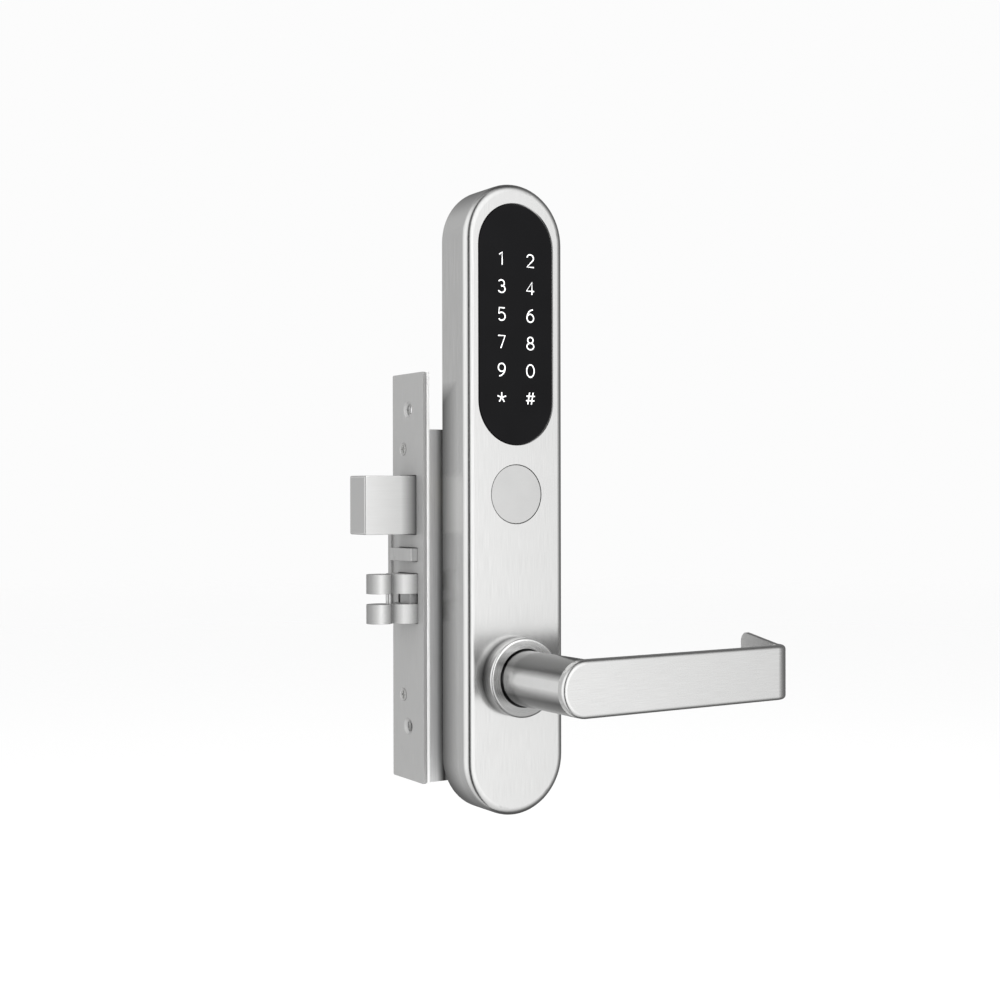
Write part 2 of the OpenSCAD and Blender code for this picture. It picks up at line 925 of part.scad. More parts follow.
module case_body() {
    color("lightgray")
        difference() {
            union() {
                difference() {
                    block([case_x, case_rear], [inner_near_y, case_far_y],
                          [case_bottom, case_top]);
                    block([case_x - 1, case_rear - case_t], [case_near_y, inner_far_y],
                          [case_bottom + case_t, case_top - case_t]);
                }
                block([-motor_r, motor_r], [motor_y, inner_far_y],
                      [case_bottom + case_t, motor_z + motor_l - 2]);
            }
            translate([0, motor_y, motor_z - 0.05])
                cylinder(r = motor_r + 0.05, h = motor_l + 1);
            rod_y(journal_r + 0.1, inner_far_y - 1, case_far_y + 1);
            rod_y(cam_hub_r + 0.1, inner_far_y - 1, case_far_y + 1, 0, key_z);
            rod_y(bolt_hole_r, inner_far_y - 1, case_far_y + 1,
                  post_spots[1][0], post_spots[1][1]);
        }
}

module case_cover() {
    color("lightgray")
        difference() {
            block([case_x, case_rear], [case_near_y, inner_near_y], [case_bottom, case_top]);
            rod_y(journal_r + 0.1, case_near_y - 1, inner_near_y + 1);
            rod_y(cam_hub_r + 0.1, case_near_y - 1, inner_near_y + 1, 0, key_z);
            rod_y(bolt_hole_r, case_near_y - 1, inner_near_y + 1,
                  post_spots[1][0], post_spots[1][1]);
            for (spot = pillar_spots)
                turned(spot[0], spot[1])
                    polygon([[0, case_near_y - 0.01], [2.6, case_near_y - 0.01],
                             [1.5, case_near_y + 1.1], [1.5, inner_near_y + 1],
                             [0, inner_near_y + 1]]);
        }
}

module case_pillars() {
    color("silver")
        for (spot = pillar_spots)
            difference() {
                rod_y(pillar_r, inner_near_y, inner_far_y, spot[0], spot[1]);
                rod_y(1.3, inner_near_y - 1, inner_near_y + 8, spot[0], spot[1]);
            }
}

module case_screws() {
    color("dimgray")
        for (spot = pillar_spots)
            difference() {
                turned(spot[0], spot[1])
                    polygon([[0, case_near_y + 0.1], [2.4, case_near_y + 0.1],
                             [1.25, case_near_y + 1.25], [1.25, case_near_y + 7],
                             [0, case_near_y + 7]]);
                block([spot[0] - 1.5, spot[0] + 1.5], [case_near_y - 1, case_near_y + 0.6],
                      [spot[1] - 0.3, spot[1] + 0.3]);
            }
}

// ---- Deadbolt ----

module deadbolt() {
    corner = 1.2;
    y = [mortise_y - bolt_w / 2, mortise_y + bolt_w / 2];
    z = [bolt_z - bolt_h / 2, bolt_z + bolt_h / 2];
    color("silver")
        difference() {
            intersection() {
                slab(y[0], y[1])
                    round_rect([bolt_front_x, bolt_rear_x], z, corner);
                translate([0, 0, z[0]])
                    linear_extrude(height = bolt_h)
                        round_rect([bolt_front_x, bolt_rear_x], y, corner);
                translate([bolt_front_x, 0, 0])
                    rotate([90, 0, 90])
                        linear_extrude(height = bolt_rear_x - bolt_front_x)
                            round_rect(y, z, corner / 2);
            }
            block([tail_x0, bolt_rear_x + 1],
                  [mortise_y - tail_t / 2, mortise_y + tail_t / 2],
                  [key_z - 4, bolt_z + bolt_h]);
            for (rivet_z = rivet_zs)
                rod_y(rivet_r, y[0] - 1, y[1] + 1, rivet_x, rivet_z);
        }
}

module deadbolt_tail() {
    slot_low = cam_z + 0.3;
    slot_high = key_z + cam_r;
    color("darkgray")
        slab(mortise_y - tail_t / 2, mortise_y + tail_t / 2)
            difference() {
                union() {
                    translate([tail_x0, key_z - 4])
                        square([cam_x + 7 - tail_x0, 12.5]);
                    translate([cam_x - 7, key_z - 4])
                        square([14, slot_high + 4.2 - key_z + 4]);
                }
                translate([cam_x, 0])
                    pill(tail_slot_r, slot_low, slot_high);
                for (rivet_z = rivet_zs)
                    translate([rivet_x, rivet_z])
                        circle(rivet_r);
            }
}

module tail_rivets() {
    color("silver")
        for (rivet_z = rivet_zs)
            rod_y(rivet_r, mortise_y - bolt_w / 2, mortise_y + bolt_w / 2, rivet_x, rivet_z);
}

// ---- Latch ----

// Outline of a latch plate seen from above: a round nose, a wider round base that it meets
// in a crease, and a root
module latch_outline() {
    difference() {
        union() {
            translate([latch_nose_x, mortise_y])
                circle(latch_nose_r);
            translate([latch_base_x, mortise_y])
                circle(latch_base_r);
            translate([latch_base_x, mortise_y - latch_base_r])
                square([latch_root_x - latch_base_x, 2 * latch_base_r]);
        }
        translate([latch_pin_x, mortise_y])
            circle(latch_pin_r);
    }
}

module latch_plate(z) {
    translate([0, 0, z])
        linear_extrude(height = latch_t)
            latch_outline();
}

module latch_plate_upper() {
    color("silver")
        latch_plate(latch_z + latch_gap / 2);
}

module latch_plate_lower() {
    color("silver")
        latch_plate(latch_low_z);
}

module latch_pin() {
    color("darkgray")
        translate([latch_pin_x, mortise_y, latch_low_z + 1])
            cylinder(r = latch_pin_r, h = latch_high_z - latch_low_z - 2);
}

module latch_block() {
    web_x = face_x - 3;
    color("darkgray")
        difference() {
            union() {
                block([latch_root_x, latch_root_x + 8], [mortise_y - 7, mortise_y + 7],
                      [latch_low_z, latch_high_z]);
                block([web_x, latch_root_x], [mortise_y - 7.5, mortise_y + 2.6],
                      [latch_z - latch_gap / 2, latch_z + latch_gap / 2]);
            }
            rod_x(tube_bore_r, tube_bore_x, latch_root_x + 9, mortise_y, latch_z);
        }
}

module latch_tail() {
    color("gray")
        difference() {
            union() {
                rod_x(tube_r, latch_root_x + 8, tube_rear_x, mortise_y, latch_z);
                block([lug_x, tube_rear_x], [mortise_y - 4, mortise_y + 4],
                      [latch_z - 16, latch_z - 1]);
            }
            rod_x(tube_bore_r, latch_root_x + 7, tube_rear_x + 1, mortise_y, latch_z);
        }
}

module latch_spring() {
    color("darkgray")
        translate([tube_bore_x + 0.05, mortise_y, latch_z])
            rotate([0, 90, 0])
                coil(2.15, 0.35, case_rear_x - tube_bore_x - 0.1, 18, 8, 5);
}

module spring_rod() {
    color("silver")
        rod_x(1.4, tube_bore_x + latch_throw + 1.5, case_rear_x, mortise_y, latch_z);
}

// ---- Auxiliary latch ----

module aux_latch() {
    near_y = mortise_y - aux_half_w;
    far_y = mortise_y + aux_half_w;
    color("silver") {
        translate([0, 0, aux_z - aux_h / 2])
            linear_extrude(height = aux_h)
                polygon([[face_x - aux_near_out, near_y], [face_x - aux_far_out, far_y],
                         [aux_rear_x, far_y], [aux_rear_x, near_y]]);
        rod_x(aux_rod_r, aux_rear_x, bracket_x + 8, mortise_y, aux_z);
    }
}

module aux_spring() {
    color("darkgray")
        translate([aux_rear_x + 0.05, mortise_y, aux_z])
            rotate([0, 90, 0])
                coil(2.9, 0.35, bracket_x - aux_rear_x - 0.1, 6, 10, 5);
}

module aux_bracket() {
    color("lightgray")
        difference() {
            block([bracket_x, bracket_x + 2], [inner_near_y, inner_far_y],
                  [aux_z - 5, aux_z + 5]);
            rod_x(aux_rod_r + running, bracket_x - 1, bracket_x + 3, mortise_y, aux_z);
        }
}

// ---- Follower and clutch ----

module clutch_hub() {
    color("darkkhaki")
        difference() {
            union() {
                rod_y(journal_r, case_near_y, inner_near_y + 0.4);
                rod_y(clutch_hub_r, inner_near_y + 0.4, follower_near_y - 0.1);
            }
            block([-spindle_a / 2 - running, spindle_a / 2 + running],
                  [case_near_y - 1, follower_near_y - 0.5],
                  [-spindle_a / 2 - running, spindle_a / 2 + running]);
            translate([0, clutch_y, -clutch_hub_r - 1])
                cylinder(r = clutch_pin_r + running, h = 4.5);
        }
}

module follower() {
    color("darkkhaki")
        difference() {
            union() {
                rod_y(follower_r, follower_near_y, 35);
                rod_y(journal_r, 35, case_far_y);
                slab(mortise_y - 3, mortise_y + 3) {
                    translate([-arm_r, 0])
                        square([2 * arm_r, arm_reach]);
                    translate([0, arm_reach])
                        circle(arm_r);
                }
                slab(inner_near_y + 0.5, follower_near_y)
                    difference() {
                        circle(follower_r);
                        circle(ring_bore_r);
                    }
            }
            block([-spindle_a / 2 - running, spindle_a / 2 + running],
                  [follower_near_y - 1, case_far_y + 1],
                  [-spindle_a / 2 - running, spindle_a / 2 + running]);
            translate([0, clutch_y, -follower_r - 1])
                cylinder(r = clutch_pin_r + running, h = 5);
        }
}

module clutch_pin() {
    color("silver")
        translate([0, clutch_y, -follower_r - 0.4])
            cylinder(r = clutch_pin_r, h = 5.2);
}

module clutch_slider() {
    color("darkgray") {
        slab(clutch_y - 2, clutch_y + 2)
            difference() {
                union() {
                    translate([-17, -20])
                        square([25, 13]);
                    translate([-6, -24])
                        square([12, 8]);
                }
                translate([0, slider_arc_z])
                    circle(slider_arc_r);
            }
        difference() {
            block([-4, 4], [clutch_y + 1.5, motor_y + 4], [-24, -18.5]);
            translate([0, motor_y, -25])
                cylinder(r = worm_r + running, h = 8);
        }
    }
}

module clutch_motor() {
    color("silver")
        translate([0, motor_y, motor_z])
            cylinder(r = motor_r, h = motor_l);
}

module motor_worm() {
    color("goldenrod")
        translate([0, motor_y, motor_z + motor_l + 0.1])
            cylinder(r = worm_r, h = 20);
}

escutcheon_cover();
keypad_glass();
glass_seal();
keypad_frame();
light_guide();
key_leds();
touch_board();
board_fasteners();
main_board();
board_parts();
base_plate();
base_gasket();
base_screws();
mounting_posts();
cable_grommet();
rose_collar();
lever_bush();
stop_pins();
return_spring();
lever_neck();
lever_blade();
lever_clip();
lever_carrier();
carrier_screws();
lever_set_screw();
lever_spindle();
clutch_hub();
cylinder_body();
cylinder_clip();
cylinder_cap();
key_plug();
cylinder_tailpiece();
cam_outer();
cam_inner();
cam_pin();
faceplate();
faceplate_screws();
case_front();
case_body();
case_cover();
case_pillars();
case_screws();
deadbolt();
deadbolt_tail();
tail_rivets();
latch_plate_upper();
latch_plate_lower();
latch_pin();
latch_block();
latch_tail();
latch_spring();
spring_rod();
aux_latch();
aux_spring();
aux_bracket();
follower();
clutch_pin();
clutch_slider();
clutch_motor();
motor_worm();
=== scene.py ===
import math

import bpy
from mathutils import Matrix, Vector


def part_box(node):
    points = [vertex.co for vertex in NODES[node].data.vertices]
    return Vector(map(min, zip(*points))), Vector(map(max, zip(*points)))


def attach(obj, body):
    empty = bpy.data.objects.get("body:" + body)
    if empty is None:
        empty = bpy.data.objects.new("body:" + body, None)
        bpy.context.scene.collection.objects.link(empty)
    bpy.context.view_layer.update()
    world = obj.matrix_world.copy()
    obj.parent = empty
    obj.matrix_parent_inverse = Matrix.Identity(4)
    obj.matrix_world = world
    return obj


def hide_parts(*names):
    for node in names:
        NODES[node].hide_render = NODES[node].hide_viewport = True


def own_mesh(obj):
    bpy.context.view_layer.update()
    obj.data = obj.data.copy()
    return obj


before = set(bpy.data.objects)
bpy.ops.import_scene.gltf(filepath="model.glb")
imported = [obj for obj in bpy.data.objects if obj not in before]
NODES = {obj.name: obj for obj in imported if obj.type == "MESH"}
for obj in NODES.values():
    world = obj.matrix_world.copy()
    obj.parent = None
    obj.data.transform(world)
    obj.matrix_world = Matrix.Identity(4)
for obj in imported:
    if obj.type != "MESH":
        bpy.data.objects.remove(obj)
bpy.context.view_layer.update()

MM = 0.001
X, Y, Z = range(3)


# ---------------------------------------------------------------- shader nodes

def add_node(tree, kind, **settings):
    """A new shader node, set up by its own property names."""
    node = tree.nodes.new("ShaderNode" + kind)
    for name, value in settings.items():
        setattr(node, name, value)
    return node


def new_material(name, color, metallic, roughness):
    """A Principled material. Gives back the material, its node tree and its shader."""
    material = bpy.data.materials.new(name)
    material.use_nodes = True
    material.diffuse_color = (*color, 1)
    tree = material.node_tree
    surface = tree.nodes["Principled BSDF"]
    surface.inputs["Base Color"].default_value = (*color, 1)
    surface.inputs["Metallic"].default_value = metallic
    surface.inputs["Roughness"].default_value = roughness
    return material, tree, surface


def scaled_position(tree, scale):
    """The piece's own coordinates times a scale per axis, so that one unit is one grain."""
    position = add_node(tree, "TexCoord")
    mapping = add_node(tree, "Mapping")
    mapping.inputs["Scale"].default_value = scale
    tree.links.new(position.outputs["Object"], mapping.inputs["Vector"])
    return mapping.outputs["Vector"]


def even_position(tree, per_metre):
    """The piece's own coordinates with the same number of grains per metre along every axis."""
    return scaled_position(tree, (per_metre,) * 3)


def turned_position(tree, centre_z, across, around):
    """Coordinates of a face turned on a lathe about Y: distance from the axis, depth and angle."""
    position = add_node(tree, "TexCoord")
    centred = add_node(tree, "VectorMath", operation="SUBTRACT")
    centred.inputs[1].default_value = (0, 0, centre_z)
    split = add_node(tree, "SeparateXYZ")
    flat = add_node(tree, "CombineXYZ")
    radius = add_node(tree, "VectorMath", operation="LENGTH")
    angle = add_node(tree, "Math", operation="ARCTAN2")
    join = add_node(tree, "CombineXYZ")
    mapping = add_node(tree, "Mapping")
    mapping.inputs["Scale"].default_value = (across, across, around)
    for source, target in [
        (position.outputs["Object"], centred.inputs[0]),
        (centred.outputs["Vector"], split.inputs["Vector"]),
        (split.outputs["X"], flat.inputs["X"]),
        (split.outputs["Z"], flat.inputs["Z"]),
        (flat.outputs["Vector"], radius.inputs[0]),
        (split.outputs["Z"], angle.inputs[0]),
        (split.outputs["X"], angle.inputs[1]),
        (radius.outputs["Value"], join.inputs["X"]),
        (split.outputs["Y"], join.inputs["Y"]),
        (angle.outputs["Value"], join.inputs["Z"]),
        (join.outputs["Vector"], mapping.inputs["Vector"]),
    ]:
        tree.links.new(source, target)
    return mapping.outputs["Vector"]


def noise(tree, vector, detail=2.0):
    """Noise from 0 to 1, with its middle at 0.5 and one unit to a grain."""
    texture = add_node(tree, "TexNoise")
    texture.inputs["Scale"].default_value = 1.0
    texture.inputs["Detail"].default_value = detail
    tree.links.new(vector, texture.inputs["Vector"])
    return texture.outputs["Fac"]


def spread(tree, value, low, high, start=0.3, end=0.7):
    """Maps a value between start and end, by default where noise mostly lies, onto low to high."""
    mapped = add_node(tree, "MapRange")
    mapped.inputs["From Min"].default_value = start
    mapped.inputs["From Max"].default_value = end
    mapped.inputs["To Min"].default_value = low
    mapped.inputs["To Max"].default_value = high
    tree.links.new(value, mapped.inputs["Value"])
    return mapped.outputs["Result"]


def halfway(tree, first, second):
    """The mean of two values."""
    mixed = add_node(tree, "Mix", data_type="FLOAT")
    mixed.inputs["Factor"].default_value = 0.5
    tree.links.new(first, mixed.inputs["A"])
    tree.links.new(second, mixed.inputs["B"])
    return mixed.outputs["Result"]


def brighter(tree, first, second):
    """The larger of two values."""
    larger = add_node(tree, "Math", operation="MAXIMUM")
    tree.links.new(first, larger.inputs[0])
    tree.links.new(second, larger.inputs[1])
    return larger.outputs["Value"]


def multiplied(tree, first, second):
    """Two colours multiplied."""
    product = add_node(tree, "Mix", data_type="RGBA", blend_type="MULTIPLY")
    product.inputs["Factor"].default_value = 1
    tree.links.new(first, product.inputs["A"])
    tree.links.new(second, product.inputs["B"])
    return product.outputs["Result"]


def shade(tree, surface, value, dark, light):
    """Colours the surface from dark to light by a value from 0 to 1."""
    mixed = add_node(tree, "Mix", data_type="RGBA")
    mixed.inputs["A"].default_value = (*dark, 1)
    mixed.inputs["B"].default_value = (*light, 1)
    tree.links.new(value, mixed.inputs["Factor"])
    tree.links.new(mixed.outputs["Result"], surface.inputs["Base Color"])


def bump(tree, surface, height, distance):
    """Raises the surface by a height from 0 to 1, distance metres from low to high."""
    node = add_node(tree, "Bump")
    node.inputs["Strength"].default_value = 1.0
    node.inputs["Distance"].default_value = distance
    tree.links.new(height, node.inputs["Height"])
    tree.links.new(node.outputs["Normal"], surface.inputs["Normal"])


def times(color, factor):
    """A colour made lighter or darker."""
    return tuple(c * factor for c in color)


# ---------------------------------------------------------------- kinds of material

ROUGHNESS_SPREAD = 0.15     # how far a metal's roughness strays either way, as a share of it
CLOUDS_PER_METRE = 60       # slow patches in a metal's finish
LATHE_MARKS = 1.5           # grains per radian round a turned face


def grained(name, color, roughness, vector_of, contrast=0.06, depth=0.004 * MM, metallic=1.0):
    """Metal with a grain: hair lines in colour, roughness and relief, and slow cloudy patches."""
    material, tree, surface = new_material(name, color, metallic, roughness)
    fine = noise(tree, vector_of(tree), 3.0)
    cloud = noise(tree, even_position(tree, CLOUDS_PER_METRE))
    lines = spread(tree, fine, 0, 1)
    shade(tree, surface, lines, times(color, 1 - contrast), times(color, 1 + contrast))
    smoothest = roughness * (1 - ROUGHNESS_SPREAD)
    roughest = roughness * (1 + ROUGHNESS_SPREAD)
    rough = halfway(tree, spread(tree, fine, smoothest, roughest),
                    spread(tree, cloud, smoothest, roughest))
    tree.links.new(rough, surface.inputs["Roughness"])
    bump(tree, surface, fine, depth)
    return material


def brushed(name, color, roughness, axis, width=0.2 * MM, length=12 * MM, **looks):
    """Metal brushed along an axis, in hair lines of that width and length."""
    scale = [1 / width] * 3
    scale[axis] = 1 / length
    return grained(name, color, roughness, lambda tree: scaled_position(tree, scale), **looks)


def turned(name, color, roughness, centre_z=0.0, width=0.15 * MM, **looks):
    """Metal turned about an axis along Y, which passes centre_z above the origin."""
    return grained(name, color, roughness,
                   lambda tree: turned_position(tree, centre_z, 1 / width, LATHE_MARKS), **looks)


def plain_metal(name, color, roughness, size, relief, metallic=1.0):
    """Cast, plated or wire metal with an even grain."""
    return grained(name, color, roughness, lambda tree: even_position(tree, 1 / size),
                   contrast=0.08, depth=relief, metallic=metallic)


def moulded(name, color, roughness, size=0.35 * MM, relief=0.01 * MM):
    """Plastic or rubber with the fine spark-eroded texture of its mould."""
    material, tree, surface = new_material(name, color, 0.0, roughness)
    fine = noise(tree, even_position(tree, 1 / size))
    shade(tree, surface, spread(tree, fine, 0, 1), times(color, 0.9), times(color, 1.1))
    rough = spread(tree, fine, roughness * 0.9, roughness * 1.1)
    tree.links.new(rough, surface.inputs["Roughness"])
    bump(tree, surface, fine, relief)
    return material


def black_glass():
    """Smooth glass printed black behind, with the faintest ripple."""
    color = (0.005, 0.005, 0.0055)
    ripples_per_metre = 45
    material, tree, surface = new_material("black_glass", color, 0.0, 0.12)
    slow = noise(tree, even_position(tree, ripples_per_metre), 1.0)
    shade(tree, surface, spread(tree, slow, 0, 1), times(color, 0.9), times(color, 1.1))
    tree.links.new(spread(tree, slow, 0.1, 0.15), surface.inputs["Roughness"])
    bump(tree, surface, slow, 0.01 * MM)
    surface.inputs["Specular IOR Level"].default_value = 0.06
    return material


def printed_white():
    """The keys' white print, a little uneven as screen printing is, and lit from behind."""
    color = (0.88, 0.88, 0.88)
    grains_per_metre = 6000
    material, tree, surface = new_material("printed_white", color, 0.0, 0.5)
    grain = noise(tree, even_position(tree, grains_per_metre))
    shade(tree, surface, spread(tree, grain, 0, 1), times(color, 0.96), times(color, 1.02))
    bump(tree, surface, grain, 0.004 * MM)
    surface.inputs["Emission Color"].default_value = (1, 1, 1, 1)
    surface.inputs["Emission Strength"].default_value = 0.35
    return material


def circuit_board():
    """Green solder mask over faint copper tracks."""
    mask = (0.02, 0.16, 0.06)
    tracks_per_metre = 400
    material, tree, surface = new_material("circuit_board", mask, 0.0, 0.35)
    tracks = add_node(tree, "TexBrick")
    tracks.inputs["Color1"].default_value = (0, 0, 0, 1)
    tracks.inputs["Color2"].default_value = (0, 0, 0, 1)
    tracks.inputs["Mortar"].default_value = (1, 1, 1, 1)
    tracks.inputs["Scale"].default_value = 1.0
    tracks.inputs["Mortar Size"].default_value = 0.05
    upright = add_node(tree, "Mapping")
    upright.inputs["Rotation"].default_value = (math.radians(90), 0, 0)
    tree.links.new(even_position(tree, tracks_per_metre), upright.inputs["Vector"])
    tree.links.new(upright.outputs["Vector"], tracks.inputs["Vector"])
    shade(tree, surface, tracks.outputs["Color"], mask, times(mask, 1.8))
    bump(tree, surface, tracks.outputs["Color"], 0.03 * MM)
    return material


def with_painted_shade(material, *shades):
    """Paints shade into a finish: darkens its colour by place along the piece's own axes. Each shade
    is a list of ramps, of which the brightest counts, and the shades multiply. A ramp is an axis,
    two places along it in mm and the share of the colour kept at each."""
    tree = material.node_tree
    surface = tree.nodes["Principled BSDF"]
    position = add_node(tree, "TexCoord")
    split = add_node(tree, "SeparateXYZ")
    tree.links.new(position.outputs["Object"], split.inputs["Vector"])
    for ramps in shades:
        share = None
        for axis, start, end, low, high in ramps:
            value = spread(tree, split.outputs[axis], low, high, start * MM, end * MM)
            share = brighter(tree, share, value) if share else value
        color = surface.inputs["Base Color"].links[0].from_socket
        tree.links.new(multiplied(tree, color, share), surface.inputs["Base Color"])
    return material


# ---------------------------------------------------------------- finishes

STEEL = (0.66, 0.66, 0.655)

# Places that the painted shades are measured from, in mm
DOOR_FACE = 0
FACEPLATE_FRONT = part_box("faceplate")[0].x / MM
FACEPLATE_FAR_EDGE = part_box("faceplate")[1].y / MM
COVER_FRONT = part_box("escutcheon_cover")[0].y / MM
COVER_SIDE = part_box("escutcheon_cover")[0].x / MM
CASE_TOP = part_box("case_body")[1].z / MM
CASE_SHADE = COVER_SIDE + 10.9          # the darkest line of the cover's painted shadow on the case
BOLT_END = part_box("deadbolt")[0].x / MM
LATCH_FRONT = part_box("latch_plate_upper")[0].x / MM
LATCH_CREASE = LATCH_FRONT + 11.4       # between the two lobes of a latch plate

cap_low, cap_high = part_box("cylinder_cap")
KEY_AXIS_Z = (cap_low.z + cap_high.z) / 2

# Painted shade on the cover's side, darkest towards the door where the mortise case shades it, up to
# a little above the case
COVER_STEEL = with_painted_shade(
    brushed("cover_steel", STEEL, roughness=0.22, axis=Z),
    [(Y, DOOR_FACE - 15, DOOR_FACE, 1.0, 0.15), (Z, CASE_TOP + 8, CASE_TOP + 22, 0.0, 1.0),
     (X, COVER_SIDE + 3.7, COVER_SIDE + 15.7, 0.0, 1.0)])

# Painted light on the rose: its colour is set lighter than the plain steel for its lit top, with
# painted shade towards the cover and downwards, in the lever's shadow
ROSE_STEEL = with_painted_shade(
    turned("rose_steel", times(STEEL, 1.45), roughness=0.27),
    [(Y, COVER_FRONT - 7.2, COVER_FRONT, 1.0, 0.1)],
    [(Z, -14, 13, 0.38, 1.0)])

# Painted light on the neck: its colour is set lighter than the plain steel, with painted shade above
# and below that leaves a painted highlight along its middle, and a little painted shade towards the
# rose
NECK_STEEL = with_painted_shade(
    turned("neck_steel", times(STEEL, 1.5), roughness=0.22),
    [(Z, 3.5, 7, 1.0, 0.18)],
    [(Z, -6.5, -0.5, 0.12, 1.0)],
    [(Y, COVER_FRONT - 38, COVER_FRONT - 9, 1.0, 0.95)])

# Painted shade on the bolt towards the faceplate. Its end face is painted darker, as in shade, with
# a painted dark reflection line round it on its rounded edge
BOLT_STEEL = with_painted_shade(
    brushed("bolt_steel", times(STEEL, 0.76), roughness=0.35, axis=X, metallic=0.1,
            contrast=0.03, depth=0.002 * MM),
    [(X, FACEPLATE_FRONT - 8.5, FACEPLATE_FRONT, 1.0, 0.1),
     (X, FACEPLATE_FRONT, FACEPLATE_FRONT + 2, 0.0, 1.0)],
    [(X, BOLT_END + 0.01, BOLT_END + 0.13, 0.7, 1.0)],
    [(X, BOLT_END + 0.18, BOLT_END + 0.43, 1.0, 0.25),
     (X, BOLT_END + 0.43, BOLT_END + 0.68, 0.25, 1.0)])

# Painted shade on the latch plates: in their crease, at their front and towards the faceplate
LATCH_STEEL = with_painted_shade(
    brushed("latch_steel", times(STEEL, 0.8), roughness=0.45, axis=X, width=0.15 * MM,
            metallic=0.12, contrast=0.1),
    [(X, LATCH_CREASE - 6.8, LATCH_CREASE, 1.0, 0.32),
     (X, LATCH_CREASE, LATCH_CREASE + 4.2, 0.32, 1.0)],
    [(X, LATCH_FRONT + 0.6, LATCH_FRONT + 4.1, 0.45, 1.0)],
    [(X, FACEPLATE_FRONT - 7, FACEPLATE_FRONT, 1.0, 0.35),
     (X, FACEPLATE_FRONT, FACEPLATE_FRONT + 2, 0.0, 1.0)])

# Painted shade: the cover's shadow painted on a strip of the case
CASE_STEEL = with_painted_shade(
    brushed("case_steel", (0.65, 0.65, 0.65), roughness=0.5, axis=Z, width=0.4 * MM,
            length=20 * MM, metallic=0.2),
    [(X, CASE_SHADE - 4, CASE_SHADE, 1.0, 0.04),
     (X, CASE_SHADE, CASE_SHADE + 4.8, 0.0, 1.0)])

# Painted shade on the lip on the far side of the case's front plate, where the faceplate shades it
FRONT_PLATE_STEEL = with_painted_shade(
    brushed("front_plate_steel", times(STEEL, 1.35), roughness=0.4, axis=Z, metallic=0.15),
    [(Y, FACEPLATE_FAR_EDGE - 7.9, FACEPLATE_FAR_EDGE - 1.9, 1.0, 0.4)])

FINISHES = [
    (COVER_STEEL, ["escutcheon_cover"]),
    (ROSE_STEEL, ["rose_collar"]),
    (NECK_STEEL, ["lever_neck"]),
    (BOLT_STEEL, ["deadbolt"]),
    (LATCH_STEEL, ["latch_plate_upper", "latch_plate_lower"]),
    (CASE_STEEL, ["case_body", "case_cover", "aux_bracket"]),
    (FRONT_PLATE_STEEL, ["case_front"]),
    (plain_metal("cap_steel", times(STEEL, 0.97), roughness=0.42, size=0.25 * MM,
                 relief=0.01 * MM),
     ["cylinder_cap"]),
    (brushed("blade_steel", times(STEEL, 1.1), roughness=0.27, axis=X), ["lever_blade"]),
    (brushed("faceplate_steel", times(STEEL, 0.62), roughness=0.38, axis=Z, metallic=0.35),
     ["faceplate"]),
    (brushed("aux_steel", times(STEEL, 0.67), roughness=0.3, axis=Z, metallic=0.6),
     ["aux_latch"]),
    (brushed("pin_steel", STEEL, roughness=0.4, axis=Z, width=0.15 * MM),
     ["latch_pin", "tail_rivets"]),
    (plain_metal("zinc_steel", (0.6, 0.61, 0.62), roughness=0.35, size=0.8 * MM,
                 relief=0.01 * MM),
     ["base_plate", "mounting_posts", "stop_pins", "lever_carrier", "lever_spindle",
      "cylinder_tailpiece", "case_pillars", "deadbolt_tail", "spring_rod", "clutch_slider"]),
    (plain_metal("screw_steel", (0.62, 0.62, 0.61), roughness=0.28, size=0.3 * MM,
                 relief=0.005 * MM),
     ["faceplate_screws", "base_screws", "carrier_screws", "cam_pin", "clutch_pin"]),
    (plain_metal("black_steel", (0.05, 0.05, 0.052), roughness=0.45, size=0.3 * MM,
                 relief=0.008 * MM),
     ["lever_set_screw", "case_screws"]),
    (plain_metal("spring_steel", (0.42, 0.43, 0.45), roughness=0.25, size=0.5 * MM,
                 relief=0.004 * MM),
     ["return_spring", "lever_clip", "cylinder_clip", "latch_spring", "aux_spring"]),
    (plain_metal("cast_zinc", (0.5, 0.5, 0.5), roughness=0.42, size=0.5 * MM,
                 relief=0.03 * MM, metallic=0.8),
     ["clutch_hub", "cam_outer", "cam_inner", "latch_block", "latch_tail", "follower"]),
    (turned("brass", (0.72, 0.55, 0.26), roughness=0.26, centre_z=KEY_AXIS_Z),
     ["cylinder_body", "key_plug", "motor_worm", "board_fasteners"]),
    (plain_metal("motor_can", (0.58, 0.58, 0.59), roughness=0.3, size=0.6 * MM,
                 relief=0.004 * MM),
     ["clutch_motor"]),
    (black_glass(), ["keypad_glass"]),
    (moulded("black_plastic", (0.025, 0.025, 0.026), roughness=0.5),
     ["keypad_frame", "board_parts", "lever_bush"]),
    (moulded("white_plastic", (0.8, 0.8, 0.77), roughness=0.45), ["light_guide", "key_leds"]),
    (circuit_board(), ["touch_board", "main_board"]),
    (moulded("rubber", (0.03, 0.03, 0.03), roughness=0.75, size=0.5 * MM, relief=0.02 * MM),
     ["glass_seal", "base_gasket", "cable_grommet"]),
]

for material, names in FINISHES:
    for name in names:
        for slot in NODES[name].material_slots:
            slot.material = material


# ---------------------------------------------------------------- edges

WELD_DISTANCE = 0.002 * MM
FLAT_ANGLE = math.radians(0.5)      # faces that meet flatter than this are joined
SHARP_ANGLE = math.radians(34)      # edges sharper than this are rounded

# How wide each piece's edges are rounded, in mm
EDGES = {
    "faceplate": 0.8, "case_front": 0.8, "case_body": 0.25, "case_cover": 0.2,
    "deadbolt": 0.9, "latch_plate_upper": 0.4, "latch_plate_lower": 0.4, "latch_block": 0.3,
    "aux_latch": 0.7, "lever_blade": 0.3, "lever_neck": 0.2, "cylinder_cap": 0.15,
}


